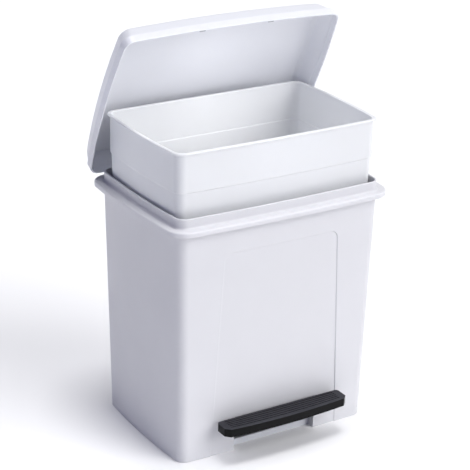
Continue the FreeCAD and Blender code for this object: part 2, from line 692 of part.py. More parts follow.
def guide_screws(heights):
    """One screw through each guide's ear into the rear wall."""
    screws = []
    for z in heights:
        y = rod_y(z) + 1.0
        share = z / FLANGE_BOTTOM
        wall_y = BASE_HALF_D + (TOP_HALF_D - BASE_HALF_D) * share - SHELL_WALL - 0.2
        shank = Part.makeCylinder(GUIDE_SCREW_R, wall_y - y, Vec(GUIDE_SCREW_X, y, z), Y_AXIS)
        head = Part.makeCylinder(2.0 * GUIDE_SCREW_R, 1.2, Vec(GUIDE_SCREW_X, y - 1.2, z), Y_AXIS)
        screws.append(shank.fuse(head).removeSplitter())
    return Part.makeCompound(screws)


def main():
    """Write every sub-part."""
    save("outer_shell", outer_shell())
    save("base_plate", base_plate())
    save("base_screws", base_screws())
    for hand, side in (("left", -1.0), ("right", 1.0)):
        save("hinge_pin_" + hand, hinge_pin(side))
        save("axle_clip_" + hand, axle_clip(side))
    save("pedal_axle", pedal_axle())
    guide_heights = {"rod_guide_lower": 150.0, "rod_guide_upper": 330.0}
    screws = guide_screws(guide_heights.values())
    for name, z in guide_heights.items():
        save(name, rod_guide(z).cut(screws))
    save("guide_screws", screws)

    save("lid_shell", lid_shell())
    save("lid_crank", lid_crank())
    save("crank_screws", crank_screws())
    save("lid_buffer_left", lid_buffer(-62.0))
    save("lid_buffer_right", lid_buffer(62.0))

    save("pedal_lever", pedal_lever())
    save("pedal_tread", pedal_tread())
    save("tread_screws", tread_screws())
    save("lever_pad", lever_pad())

    save("push_rod", push_rod())
    save("rod_cap", rod_cap())
    save("rod_foot", rod_foot())
    save("bucket", bucket())


main()
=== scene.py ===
"""Pedal trash can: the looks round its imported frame. Lengths are metres, +Z is up and the front faces -Y."""
import json
import math

import bmesh
import bpy
from bpy.props import FloatProperty, FloatVectorProperty, IntProperty, PointerProperty
from mathutils import Matrix, Vector


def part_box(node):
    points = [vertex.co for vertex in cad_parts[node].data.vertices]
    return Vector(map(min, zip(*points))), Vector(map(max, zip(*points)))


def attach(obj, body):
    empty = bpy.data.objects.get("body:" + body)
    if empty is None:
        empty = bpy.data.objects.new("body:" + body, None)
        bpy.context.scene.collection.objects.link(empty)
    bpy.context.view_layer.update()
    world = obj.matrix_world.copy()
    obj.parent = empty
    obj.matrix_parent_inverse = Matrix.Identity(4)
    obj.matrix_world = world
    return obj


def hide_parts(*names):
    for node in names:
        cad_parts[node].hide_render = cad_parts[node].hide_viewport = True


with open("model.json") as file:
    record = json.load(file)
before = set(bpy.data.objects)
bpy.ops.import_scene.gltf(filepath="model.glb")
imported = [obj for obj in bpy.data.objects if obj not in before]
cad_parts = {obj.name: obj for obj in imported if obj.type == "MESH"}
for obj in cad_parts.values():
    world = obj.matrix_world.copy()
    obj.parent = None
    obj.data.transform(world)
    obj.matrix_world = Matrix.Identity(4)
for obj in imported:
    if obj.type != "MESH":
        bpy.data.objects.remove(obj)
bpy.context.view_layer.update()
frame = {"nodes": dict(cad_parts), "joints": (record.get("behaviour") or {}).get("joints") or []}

bl_info = {
    "name": "Pedal trash can",
    "version": (1, 0, 0),
    "blender": (4, 5, 0),
    "location": "3D View > Sidebar > Trash can",
    "description": "Builds the shells, the finishes and the studio of a pedal trash can round its frame",
    "category": "Add Mesh",
}

MM = 0.001
CLOSE = 1e-6                                    # two places this near count as one

# --- places read from the frame ---
SHELL_LOW, SHELL_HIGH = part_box("outer_shell")
BUCKET_LOW, BUCKET_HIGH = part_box("bucket")
TREAD_LOW, TREAD_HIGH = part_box("pedal_tread")
PIN_LOW, PIN_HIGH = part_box("hinge_pin_right")
LID_JOINT = next(joint for joint in frame["joints"] if joint["name"] == "lid_hinge")
HINGE = Vector(LID_JOINT["pos_m"])
LID_OPEN = math.radians(-LID_JOINT["range_deg"][0])
HINGE_X = (PIN_LOW.x + PIN_HIGH.x) / 2.0
PIN_R = (PIN_HIGH.z - PIN_LOW.z) / 2.0

# --- rings: closed outlines that are carried from station to station ---
RING_HALF = 2.0
CORNER_PARTS = 8
SIDE_CUTS = 15


def start_ring(bm):
    """A square ring with round corners. Each vertex keeps its home, which outlines start from."""
    bmesh.ops.create_circle(bm, cap_ends=True, segments=4, radius=RING_HALF * math.sqrt(2.0),
                            matrix=Matrix.Rotation(math.pi / 4.0, 4, "Z"))
    bmesh.ops.bevel(bm, geom=bm.verts[:], offset=1.0, offset_type="OFFSET", segments=CORNER_PARTS,
                    profile=0.5, material=-1, affect="VERTICES")
    bmesh.ops.delete(bm, geom=bm.faces[:], context="FACES_ONLY")
    sides = [edge for edge in bm.edges if edge.calc_length() > 1.0]
    bmesh.ops.subdivide_edges(bm, edges=sides, cuts=SIDE_CUTS)
    home = bm.verts.layers.float_vector.new("home")
    for vert in bm.verts:
        vert[home] = vert.co
    return bm.edges[:]


def round_rectangle(home, half_w, front, back, radius, side_bow, front_bow):
    """A home's place on a rectangle with round corners, bowed sides and a bowed front."""
    straight = Vector((max(-1.0, min(1.0, home.x)), max(-1.0, min(1.0, home.y))))
    turn = Vector((home.x, home.y)) - straight
    half_d = (back - front) / 2.0
    x = straight.x * (half_w - radius) + turn.x * (radius + side_bow * (1.0 - straight.y ** 2))
    y = (front + back) / 2.0 + straight.y * (half_d - radius) + turn.y * radius
    y += min(turn.y, 0.0) * front_bow * (1.0 - straight.x ** 2)
    return x, y


def place_ring(bm, verts, station, outline):
    """Move a ring's vertices to the outline at one station, which is (out, height)."""
    home = bm.verts.layers.float_vector["home"]
    for vert in verts:
        x, y = outline(vert[home], station)
        vert.co = (x, y, station[1])


def sweep_rings(bm, stations, outline):
    """Carry a ring through every station. Returns the first and the last ring's edges."""
    ring = start_ring(bm)
    first = ring
    place_ring(bm, bm.verts, stations[0], outline)
    for station in stations[1:]:
        made = bmesh.ops.extrude_edge_only(bm, edges=ring)["geom"]
        verts = {item for item in made if isinstance(item, bmesh.types.BMVert)}
        ring = [item for item in made
                if isinstance(item, bmesh.types.BMEdge) and set(item.verts) <= verts]
        place_ring(bm, verts, station, outline)
    return first, ring


def rounded(corners, parts=4):
    """A section's stations, with corners turned into arcs. A corner is (out, height, radius)."""
    stations = []
    for number, (out, height, radius) in enumerate(corners):
        here = Vector((out, height))
        if radius == 0.0:
            stations.append(here)
            continue
        before = (Vector(corners[number - 1][:2]) - here).normalized()
        after = (Vector(corners[number + 1][:2]) - here).normalized()
        half = before.angle(after) / 2.0
        centre = here + (before + after).normalized() * (radius / math.sin(half))
        reach = radius / math.tan(half)
        start = (here + before * reach - centre).normalized()
        end = (here + after * reach - centre).normalized()
        for step in range(parts + 1):
            stations.append(centre + start.slerp(end, step / parts) * radius)
    return stations


# --- other forms ---
def arc(centre, radius, start_deg, end_deg, parts):
    """Points along a round stretch of a side view, each (y, z)."""
    angles = [math.radians(start_deg + (end_deg - start_deg) * step / parts) for step in range(parts + 1)]
    return [(centre[0] + radius * math.cos(a), centre[1] + radius * math.sin(a)) for a in angles]


def add_box(bm, low, high):
    """A block between two corners."""
    low, high = Vector(low), Vector(high)
    matrix = Matrix.LocRotScale((low + high) / 2.0, None, high - low)
    bmesh.ops.create_cube(bm, size=1.0, matrix=matrix)


def add_bar(bm, radius, low_x, high_x, y, z, parts=40):
    """A round bar along X."""
    matrix = Matrix.Translation(((low_x + high_x) / 2.0, y, z)) @ Matrix.Rotation(math.pi / 2.0, 4, "Y")
    bmesh.ops.create_cone(bm, cap_ends=True, segments=parts, radius1=radius, radius2=radius,
                          depth=high_x - low_x, matrix=matrix)


def add_prism(bm, points, low_x, high_x):
    """A plate across X whose side view is a closed run of (y, z) points."""
    face = bm.faces.new([bm.verts.new((low_x, y, z)) for y, z in points])
    made = bmesh.ops.extrude_face_region(bm, geom=[face])["geom"]
    moved = [item for item in made if isinstance(item, bmesh.types.BMVert)]
    bmesh.ops.translate(bm, verts=moved, vec=(high_x - low_x, 0.0, 0.0))


def add_boss(bm, x, y, low_z, high_z, radius, bore):
    """An upright screw boss: a ring section turned about its own axis."""
    corners = [(bore, low_z), (radius, low_z), (radius, high_z), (bore, high_z)]
    verts = [bm.verts.new((x + out, y, z)) for out, z in corners]
    edges = [bm.edges.new((verts[number - 1], verts[number])) for number in range(len(verts))]
    bmesh.ops.spin(bm, geom=verts + edges, cent=(x, y, 0.0), axis=(0.0, 0.0, 1.0), angle=math.tau,
                   steps=24, use_merge=True)


def soften(bm, width, least_deg=50.0, segments=2, chosen=None):
    """Round the sharp edges of a form."""
    limit = math.radians(least_deg)
    edges = [edge for edge in bm.edges
             if len(edge.link_faces) == 2 and edge.calc_face_angle() > limit
             and (chosen is None or chosen(edge))]
    bmesh.ops.bevel(bm, geom=edges, offset=width, offset_type="OFFSET", segments=segments,
                    profile=0.5, material=-1, affect="EDGES", clamp_overlap=True)


def tidied(bm):
    """Merge doubles and turn every closed form's faces outwards."""
    bmesh.ops.remove_doubles(bm, verts=bm.verts[:], dist=CLOSE)
    bmesh.ops.recalc_face_normals(bm, faces=bm.faces[:])
    return bm


def carved(bm, tool):
    """The first form with the second one's space taken out of it."""
    forms = []
    for name, source in (("form", bm), ("tool", tool)):
        mesh = bpy.data.meshes.new(name)
        tidied(source).to_mesh(mesh)
        source.free()
        forms.append(bpy.data.objects.new(name, mesh))
        bpy.context.scene.collection.objects.link(forms[-1])
    carve = forms[0].modifiers.new("Carve", "BOOLEAN")
    carve.operation = "DIFFERENCE"
    carve.solver = "EXACT"
    carve.object = forms[1]
    result = bmesh.new()
    result.from_object(forms[0], bpy.context.evaluated_depsgraph_get())
    for form in forms:
        mesh = form.data
        bpy.data.objects.remove(form)
        bpy.data.meshes.remove(mesh)
    return result


def absorb(bm, other):
    """Add another form to this one as a closed island of its own."""
    mesh = bpy.data.meshes.new("island")
    tidied(other).to_mesh(mesh)
    other.free()
    bm.from_mesh(mesh)
    bpy.data.meshes.remove(mesh)


def finished(bm, name, body, material, sharp_deg=35.0):
    """Turn a form into a shaded piece that rides on its body."""
    mesh = bpy.data.meshes.new(name)
    bmesh.ops.remove_doubles(bm, verts=bm.verts[:], dist=CLOSE)
    bm.to_mesh(mesh)
    bm.free()
    mesh.shade_smooth()
    mesh.set_sharp_from_angle(angle=math.radians(sharp_deg))
    for layer in [layer for layer in mesh.attributes if layer.name == "home"]:
        mesh.attributes.remove(layer)
    mesh.materials.append(material)
    piece = bpy.data.objects.new(name, mesh)
    bpy.context.scene.collection.objects.link(piece)
    even = piece.modifiers.new("Even shading", "WEIGHTED_NORMAL")
    even.keep_sharp = True
    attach(piece, body)
    return piece


# --- finishes ---
def linear(code):
    """An sRGB hex colour as linear red, green and blue."""
    parts = [int(code[start:start + 2], 16) / 255.0 for start in (1, 3, 5)]
    return tuple(part / 12.92 if part <= 0.04045 else ((part + 0.055) / 1.055) ** 2.4 for part in parts)


def node(tree, kind, settings=None, links=None):
    """Add a node, set its fields and sockets, and join its inputs to other nodes' outputs."""
    made = tree.nodes.new(kind)
    for name, value in (settings or {}).items():
        if isinstance(name, str) and hasattr(made, name):
            setattr(made, name, value)
        else:
            made.inputs[name].default_value = value
    for name, source in (links or {}).items():
        tree.links.new(source, made.inputs[name])
    return made


def new_material(name):
    """An empty material and its node tree."""
    material = bpy.data.materials.new(name)
    material.use_nodes = True
    material.node_tree.nodes.clear()
    return material, material.node_tree


def noise(tree, size_mm, detail, place, roughness=0.5):
    """Noise with blotches of about this size."""
    made = node(tree, "ShaderNodeTexNoise", {"Scale": 1.0 / (size_mm * MM), "Detail": detail,
                                             "Roughness": roughness}, {"Vector": place})
    return made.outputs["Fac"]


def ranged(tree, source, from_low, from_high, to_low=0.0, to_high=1.0):
    """A value carried from one range to another."""
    made = node(tree, "ShaderNodeMapRange", {"From Min": from_low, "From Max": from_high,
                                             "To Min": to_low, "To Max": to_high}, {"Value": source})
    return made.outputs["Result"]


def mixed(tree, share, first, second):
    """A colour that turns from the first into the second as the share grows."""
    settings = {"data_type": "RGBA", 6: (*first, 1.0), 7: (*second, 1.0)}
    return node(tree, "ShaderNodeMix", settings, {0: share}).outputs[2]


def moulded_plastic(name, colour, roughness, grain_mm, grain_depth_mm, ior=1.49, glow=0.0, cloud=0.03,
                    specular=0.5, wear_and_painted_highlight=None):
    """Injection-moulded plastic: a fine sparked grain over slow waves, and a slightly uneven sheen.
    A lighter scuff colour shows, duller, on the faces that look up: partly scuffing and partly a painted
    highlight where light falls on the top."""
    material, tree = new_material(name)
    place = node(tree, "ShaderNodeTexCoord").outputs["Object"]
    grain = noise(tree, grain_mm, 3.0, place, 0.6)
    flow = noise(tree, 60.0, 2.0, place)
    sheen = ranged(tree, flow, 0.3, 0.7, roughness - 0.05, roughness + 0.06)
    shade = mixed(tree, flow, colour, [part * (1.0 - cloud) for part in colour])
    # Painted highlight: faces that look up turn a lighter grey, standing partly for scuffs and partly for
    # light falling on the top.
    if wear_and_painted_highlight is not None:
        facing = node(tree, "ShaderNodeSeparateXYZ",
                      links={"Vector": node(tree, "ShaderNodeTexCoord").outputs["Normal"]})
        upward = ranged(tree, facing.outputs["Z"], 0.35, 0.9)
        spots = ranged(tree, noise(tree, 9.0, 6.0, place, 0.7), 0.4, 0.75, 0.75, 1.0)
        share = node(tree, "ShaderNodeMath", {"operation": "MULTIPLY"}, {0: upward, 1: spots})
        worn_and_painted_highlight = node(tree, "ShaderNodeMix", {"data_type": "RGBA", 7: (*wear_and_painted_highlight, 1.0)},
                    {0: share.outputs["Value"], 6: shade})
        shade = worn_and_painted_highlight.outputs[2]
        dull = node(tree, "ShaderNodeMath", {"operation": "MULTIPLY_ADD", 1: 0.3}, {0: upward, 2: sheen})
        sheen = dull.outputs["Value"]
    skin = node(tree, "ShaderNodeBump", {"Strength": 0.5, "Distance": grain_depth_mm * MM},
                {"Height": grain})
    wave = node(tree, "ShaderNodeBump", {"Strength": 0.25, "Distance": 0.25 * MM},
                {"Height": flow, "Normal": skin.outputs["Normal"]})
    shader = node(tree, "ShaderNodeBsdfPrincipled",
                  {"IOR": ior, "Specular IOR Level": specular, "Subsurface Weight": glow,
                   "Subsurface Radius": (0.95, 0.97, 1.0), "Subsurface Scale": 4.0 * MM},
                  {"Base Color": shade, "Roughness": sheen, "Normal": wave.outputs["Normal"]})
    node(tree, "ShaderNodeOutputMaterial", links={"Surface": shader.outputs["BSDF"]})
    return material


def drawn_steel(name, colour, roughness, streak_mm):
    """Steel wire or a turned pin: metal with fine streaks along X and a little tarnish."""
    material, tree = new_material(name)
    place = node(tree, "ShaderNodeTexCoord").outputs["Object"]
    stretched = node(tree, "ShaderNodeMapping", {"Scale": (0.05, 1.0, 1.0)}, {"Vector": place})
    streaks = noise(tree, streak_mm, 4.0, stretched.outputs["Vector"])
    shade = mixed(tree, noise(tree, 14.0, 3.0, place), colour, [part * 0.72 for part in colour])
    sheen = ranged(tree, streaks, 0.3, 0.7, roughness - 0.06, roughness + 0.1)
    skin = node(tree, "ShaderNodeBump", {"Strength": 0.3, "Distance": 0.02 * MM}, {"Height": streaks})
    shader = node(tree, "ShaderNodeBsdfPrincipled", {"Metallic": 1.0},
                  {"Base Color": shade, "Roughness": sheen, "Normal": skin.outputs["Normal"]})
    node(tree, "ShaderNodeOutputMaterial", links={"Surface": shader.outputs["BSDF"]})
    return material


FINISHES = {}


def make_finishes(colours):
    """Every material of the can, each named for what it is."""
    # Injection-moulded polypropylene: a satin skin that lets a little light into a milky body.
    FINISHES["shell"] = moulded_plastic("moulded_white_polypropylene_shell", colours.shell, 0.36, 1.4, 0.05,
                                        glow=0.2)
    FINISHES["lid"] = moulded_plastic("moulded_white_polypropylene_lid", colours.lid, 0.34, 1.4, 0.05,
                                      glow=0.7)
    FINISHES["bucket"] = moulded_plastic("moulded_white_polypropylene_bucket", colours.bucket, 0.4, 1.6,
                                         0.06, glow=0.7)
    # The floor of the shell is the same polypropylene, off a rougher tool.
    FINISHES["base"] = moulded_plastic("moulded_grey_polypropylene_base", colours.base, 0.5, 2.0, 0.12)
    # The tread is black ABS with a polished front edge; its upward faces are painted a lighter grey, partly
    # scuffs from shoes and partly a painted highlight where light falls on the top.
    FINISHES["tread"] = moulded_plastic("moulded_black_abs_tread", colours.tread, 0.2, 1.1, 0.04, ior=1.54,
                                        cloud=0.25, specular=0.1, wear_and_painted_highlight=linear("#3B3B41"))
    FINISHES["lever"] = moulded_plastic("moulded_glass_filled_nylon_lever", colours.lever, 0.52, 1.0, 0.1,
                                        ior=1.53, cloud=0.15)
    FINISHES["nylon"] = moulded_plastic("moulded_natural_nylon", colours.nylon, 0.42, 0.9, 0.05, ior=1.53,
                                        glow=0.2)
    FINISHES["rubber"] = moulded_plastic("moulded_grey_rubber", colours.rubber, 0.72, 0.8, 0.12, ior=1.52)
    # Bright drawn wire and zinc-plated screws: both keep the default IOR of a metal.
    FINISHES["steel"] = drawn_steel("drawn_steel_rod", colours.steel, 0.28, 0.6)
    FINISHES["screw"] = drawn_steel("zinc_plated_steel_screw", colours.screw, 0.34, 0.5)


# --- settings ---
def length(name, description, mm):
    """A length setting, its default given in millimetres."""
    return FloatProperty(name=name, description=description, default=mm * MM, unit="LENGTH")


def tilt(name, description, degrees):
    """An angle setting, its default given in degrees."""
    return FloatProperty(name=name, description=description, default=math.radians(degrees), subtype="ANGLE")


def paint(name, description, code):
    """A colour setting, its default given as sRGB hex."""
    return FloatVectorProperty(name=name, description=description, subtype="COLOR", min=0.0, max=1.0,
                               default=linear(code))


class CanColours(bpy.types.PropertyGroup):
    """The colours of the can's materials."""

    shell: paint("Shell", "Polypropylene of the body", "#D5D5D9")
    lid: paint("Lid", "Polypropylene of the lid", "#DDDEE3")
    bucket: paint("Bucket", "Polypropylene of the bucket", "#DEDFE1")
    base: paint("Base", "Polypropylene of the floor plate", "#DCDEE4")
    tread: paint("Tread", "ABS of the foot pedal", "#0B0B0C")
    lever: paint("Lever", "Filled nylon of the lever", "#34353A")
    nylon: paint("Nylon", "Crank, guides, cap and foot", "#E4E1D6")
    rubber: paint("Rubber", "Stop pads in the lid", "#A4A6AC")
    steel: paint("Steel", "Rod, axle and pins", "#C3C4C6")
    screw: paint("Screw", "Zinc-plated screws", "#BFC3C6")


class CanShell(bpy.types.PropertyGroup):
    """The body's sizes beyond what the frame gives."""

    base_half_w: length("Base half width", "Half the width at the floor", 176.0)
    base_half_d: length("Base half depth", "Half the depth at the floor", 121.0)
    top_half_w: length("Top half width", "Half the width under the flange", 184.0)
    top_half_d: length("Top half depth", "Half the depth under the flange", 128.0)
    corner: length("Corner radius", "Radius of the upright corners", 17.0)
    side_bow: length("Side bow", "How far each side swells", 4.5)
    front_bow: length("Front bow", "How far the front swells", 3.8)
    wall: length("Wall", "Thickness of the wall", 3.0)
    flange_low: length("Flange underside", "Height of the lip's lower edge", 395.4)
    flange_high: length("Flange top", "Height of the flange", 404.0)
    flange_out: length("Flange reach", "How far the flange stands out", 15.7)
    flange_wall: length("Flange wall", "Thickness of the flange and lip", 2.6)
    panel_top: length("Panel top", "Height of the recessed panel", 350.5)
    panel_half_top: length("Panel half width above", "Half its width at the top", 104.0)
    panel_half_low: length("Panel half width below", "Half its width at the floor", 120.5)
    panel_corner: length("Panel corner", "Radius of its upper corners", 14.0)
    panel_depth: length("Panel depth", "How far the panel is set back", 1.3)
    pocket_half_w: length("Pocket half width", "Half the pedal opening's width", 76.5)
    pocket_top: length("Pocket top", "Height of the pedal opening", 60.3)
    pocket_depth: length("Pocket depth", "Depth of the pedal opening's cheeks", 12.0)
    pocket_wall: length("Pocket wall", "Thickness of the cheeks", 2.4)


class CanLid(bpy.types.PropertyGroup):
    """The lid's sizes, as it lies closed."""

    half_w: length("Half width", "Half the rim's width at its ends", 195.4)
    length: length("Length", "From the hinge to the front rim", 284.3)
    rim_z: length("Rim height", "Height of the closed rim", 404.6)
    corner: length("Corner radius", "Radius of the upright corners", 18.0)
    side_bow: length("Side bow", "How far each side swells", 5.9)
    front_bow: length("Front bow", "How far the front swells", 4.9)
    height: length("Height", "From the rim to the top panel", 44.4)
    wall: length("Wall", "Thickness of the wall", 2.3)
    band: length("Band", "Height of the upright rim band", 13.6)
    step: length("Step", "Step above the band", 2.0)
    inset: length("Panel inset", "From the rim to the top panel's edge", 15.0)
    rear_inset: length("Rear inset", "The same at the hinge side", 3.5)


class CanBucket(bpy.types.PropertyGroup):
    """The bucket's sizes beyond what the frame gives."""

    corner: length("Corner radius", "Radius of the rim's corners", 17.0)
    rim_thick: length("Rim thickness", "Height of the rim's edge", 3.6)
    rim_out: length("Rim reach", "How far the rim stands out", 3.9)
    band: length("Band", "Height of the upright band", 64.0)
    step: length("Step", "Step in below the band", 1.6)
    taper: length("Taper", "How far the body narrows", 9.0)
    wall: length("Wall", "Thickness of the wall", 2.4)
    floor: length("Floor", "Thickness of the floor", 2.8)


class CanTread(bpy.types.PropertyGroup):
    """The foot pedal's sizes beyond what the frame gives."""

    bow: length("Front bow", "How far the front edge swells", 5.5)
    end_cut: length("End cut", "Size of the cut front corners", 8.0)
    back_radius: length("Back radius", "Radius of the back corners", 6.0)
    wall: length("Wall", "Thickness of the cap", 2.6)
    grooves: IntProperty(name="Grooves", description="Lengthwise grooves in the top", default=5, min=1)
    groove_wide: length("Groove width", "Width of one groove", 1.5)
    groove_deep: length("Groove depth", "Depth of one groove", 1.2)


class CanStage(bpy.types.PropertyGroup):
    """The camera and the studio light."""

    azimuth: tilt("Azimuth", "Where the camera stands round the can", -31.94)
    elevation: tilt("Elevation", "How far the camera looks down", 22.35)
    roll: tilt("Roll", "How far the camera leans", 1.30)
    place: FloatVectorProperty(name="Camera place", description="Where the camera stands",
                               default=(-1.3166, -2.1009, 1.3344), subtype="TRANSLATION", unit="LENGTH")
    lens: FloatProperty(name="Lens", description="Focal length in millimetres", default=126.8)
    key: FloatProperty(name="Key light", description="Strength of the large light at the front right",
                       default=2.2)
    key_azimuth: tilt("Key azimuth", "Where the key stands, from the front to +X", 30.0)
    key_elevation: tilt("Key elevation", "How high the key stands", 32.0)
    top: FloatProperty(name="Top light", description="Strength of the light from straight above",
                       default=1.85)
    fill: FloatProperty(name="Fill light", description="Watts of the small light over the bucket's mouth",
                        default=0.38)
    room: FloatProperty(name="Room light", description="Strength of the light all round", default=0.32)
    room_colour: paint("Room colour", "Tint of the light all round", "#FCFCFF")
    shade_colour: FloatVectorProperty(name="Shade colour", description="The dim blue light at the left",
                                      subtype="COLOR", min=0.0, max=1.0, default=(0.02, 0.025, 0.15))


# --- outer shell ---
SCREW_BORE = 1.77 * MM                          # radius of a moulded screw hole
BOSS_X, BOSS_Y = 160.0 * MM, 105.0 * MM         # the four bosses for the base plate's screws
BOSS_LOW, BOSS_HIGH, BOSS_R = 3.2 * MM, 26.0 * MM, 5.5 * MM
HINGE_R = 6.0 * MM                              # radius of the ears and of the knuckles between them
EAR_NEAR, EAR_FAR = 6.0 * MM, 14.0 * MM         # an ear's two faces, from the middle of its knuckle
SLOT_HALF = 8.0 * MM                            # half the width of the slot for the lid's crank


def shell_outline(sizes):
    """The tapered body's outline at a station."""
    def outline(home, station):
        out, height = station
        share = min(1.0, height / sizes.flange_low)
        half_w = sizes.base_half_w + (sizes.top_half_w - sizes.base_half_w) * share + out
        half_d = sizes.base_half_d + (sizes.top_half_d - sizes.base_half_d) * share + out
        return round_rectangle(home, half_w, -half_d, half_d, sizes.corner + out, sizes.side_bow,
                               sizes.front_bow)
    return outline


def shell_section(sizes, below):
    """The wall's section: up the outside, round the flange and the collar, and down the inside."""
    under = sizes.flange_high - sizes.flange_wall
    lip_in = sizes.flange_out - sizes.flange_wall
    out, high, top = sizes.flange_out, sizes.flange_high, SHELL_HIGH.z
    return rounded([
        (0.0, below, 0.0),
        (0.0, sizes.flange_low, 0.0),
        (0.0, under, 1.0 * MM),
        (lip_in, under, 1.0 * MM),
        (lip_in, sizes.flange_low, 0.5 * MM),
        (out, sizes.flange_low, 0.8 * MM),
        (out, high, 2.6 * MM),
        (out - 6.5 * MM, high - 0.7 * MM, 3.0 * MM),
        (0.0, high - 1.1 * MM, 3.6 * MM),
        (0.0, top, 1.2 * MM),
        (-sizes.wall, top, 1.2 * MM),
        (-sizes.wall, sizes.flange_low, 0.0),
        (-sizes.wall, below, 0.0),
    ])


def panel_planes(sizes):
    """The planes that bound the recessed panel: two leaning sides, the top and its round corners."""
    slope = (sizes.panel_half_low - sizes.panel_half_top) / sizes.panel_top
    lean = math.atan(slope)
    radius = sizes.panel_corner
    middle_z = sizes.panel_top - radius
    middle_x = sizes.panel_half_top + slope * radius - radius
    planes = [((0.0, 0.0, sizes.panel_top), (0.0, 0.0, 1.0))]
    for side in (-1.0, 1.0):
        for step in range(7):
            angle = lean + (math.pi / 2.0 - lean) * step / 7.0
            normal = Vector((side * math.cos(angle), 0.0, math.sin(angle)))
            point = Vector((side * middle_x, 0.0, middle_z)) + normal * radius
            planes.append((point, normal))
    return planes


def recess_panel(bm, sizes):
    """Cut the panel's outline into the front wall and set what it holds back in soft steps."""
    home = bm.verts.layers.float_vector["home"]
    inside = [face for face in bm.faces
              if all(abs(vert[home].y + RING_HALF) < 1e-4 for vert in face.verts)
              and face.calc_center_median().z < sizes.flange_low * 0.6
              and face.normal.y < 0.0]
    for point, normal in panel_planes(sizes):
        parts = set(inside)
        for face in inside:
            parts.update(face.edges)
            parts.update(face.verts)
        cut = bmesh.ops.bisect_plane(bm, geom=list(parts), dist=1e-7, plane_co=point, plane_no=normal)
        inside = [item for item in cut["geom"] if isinstance(item, bmesh.types.BMFace)
                  and (item.calc_center_median() - Vector(point)).dot(Vector(normal)) < 0.0]
    for width, share in ((0.30 * MM, 0.12), (0.35 * MM, 0.38), (0.35 * MM, 0.38), (0.30 * MM, 0.12)):
        bmesh.ops.inset_region(bm, faces=inside, thickness=width, depth=-share * sizes.panel_depth,
                               use_even_offset=True, use_boundary=False)


def close_bottom(bm, height):
    """Cut the wall off level at its foot and close the cut."""
    cut = bmesh.ops.bisect_plane(bm, geom=bm.verts[:] + bm.edges[:] + bm.faces[:], dist=1e-7,
                                 plane_co=(0.0, 0.0, height), plane_no=(0.0, 0.0, 1.0), clear_inner=True)
    rim = [item for item in cut["geom_cut"] if isinstance(item, bmesh.types.BMEdge)]
    bmesh.ops.triangle_fill(bm, edges=rim, use_beauty=True)


def hinge_ear(low_x, high_x, sizes):
    """One ear for the hinge pin, standing on the flange and hanging a little below it."""
    foot = sizes.flange_low - 6.0 * MM
    front = sizes.top_half_d - 0.5 * MM
    sunk = sizes.flange_high - 1.5 * MM
    points = [(front, foot), (HINGE.y + HINGE_R, foot)]
    points += arc((HINGE.y, HINGE.z), HINGE_R, 0.0, 180.0, 16)
    points += [(HINGE.y - HINGE_R, sunk), (front, sunk)]
    ear = bmesh.new()
    add_prism(ear, points, low_x, high_x)
    tidied(ear)
    soften(ear, 0.5 * MM, 60.0)
    bore = bmesh.new()
    add_bar(bore, PIN_R + 0.02 * MM, low_x - MM, high_x + MM, HINGE.y, HINGE.z)
    return carved(ear, bore)


def pocket_cheeks(sizes):
    """The walls round the pedal opening: an arch carried inwards and given its thickness outwards."""
    start = -sizes.base_half_d + sizes.wall - 0.6 * MM
    end = -sizes.base_half_d + sizes.pocket_depth
    half, top, low = sizes.pocket_half_w + 0.05 * MM, sizes.pocket_top + 0.05 * MM, SHELL_LOW.z
    wall = sizes.pocket_wall
    points = [(-half, low), (-half, top), (half, top), (half, low),
              (half + wall, low), (half + wall, top + wall), (-half - wall, top + wall), (-half - wall, low)]
    cheeks = bmesh.new()
    verts = [cheeks.verts.new((x, start, z)) for x, z in points]
    quads = [(0, 1, 6, 7), (1, 2, 5, 6), (2, 3, 4, 5)]
    faces = [cheeks.faces.new([verts[number] for number in quad]) for quad in quads]
    made = bmesh.ops.extrude_face_region(cheeks, geom=faces)["geom"]
    moved = [item for item in made if isinstance(item, bmesh.types.BMVert)]
    bmesh.ops.translate(cheeks, verts=moved, vec=(0.0, end - start, 0.0))
    tidied(cheeks)
    soften(cheeks, 0.4 * MM, 60.0, chosen=lambda edge: all(vert.co.y > end - CLOSE for vert in edge.verts))
    return cheeks


def build_shell(sizes):
    """The body: wall, flange, collar, panel, pedal opening, rod slot, screw bosses and hinge ears."""
    bm = bmesh.new()
    below = -6.0 * MM
    first, last = sweep_rings(bm, shell_section(sizes, below), shell_outline(sizes))
    bmesh.ops.recalc_face_normals(bm, faces=bm.faces[:])
    recess_panel(bm, sizes)
    close_bottom(bm, SHELL_LOW.z)

    tool = bmesh.new()
    add_box(tool, (-sizes.pocket_half_w, -190.0 * MM, -20.0 * MM),
            (sizes.pocket_half_w, -sizes.base_half_d + sizes.pocket_depth, sizes.pocket_top))
    add_box(tool, (-SLOT_HALF, sizes.top_half_d - 12.0 * MM, sizes.flange_low - 30.0 * MM),
            (SLOT_HALF, HINGE.y - 5.4 * MM, SHELL_HIGH.z + 5.0 * MM))
    for side in (-1.0, 1.0):
        add_bar(tool, 6.8 * MM, side * HINGE_X - 6.0 * MM, side * HINGE_X + 6.0 * MM, HINGE.y, HINGE.z)
    bm = tidied(carved(bm, tool))
    soften(bm, 0.5 * MM, 60.0, chosen=lambda edge: is_pocket_edge(edge, sizes))

    absorb(bm, pocket_cheeks(sizes))
    for side in (-1.0, 1.0):
        for low, high in ((-EAR_FAR, -EAR_NEAR), (EAR_NEAR, EAR_FAR)):
            absorb(bm, hinge_ear(side * HINGE_X + low, side * HINGE_X + high, sizes))
        for end in (-1.0, 1.0):
            boss = bmesh.new()
            add_boss(boss, side * BOSS_X, end * BOSS_Y, BOSS_LOW, BOSS_HIGH, BOSS_R, SCREW_BORE)
            absorb(bm, boss)
    return bm


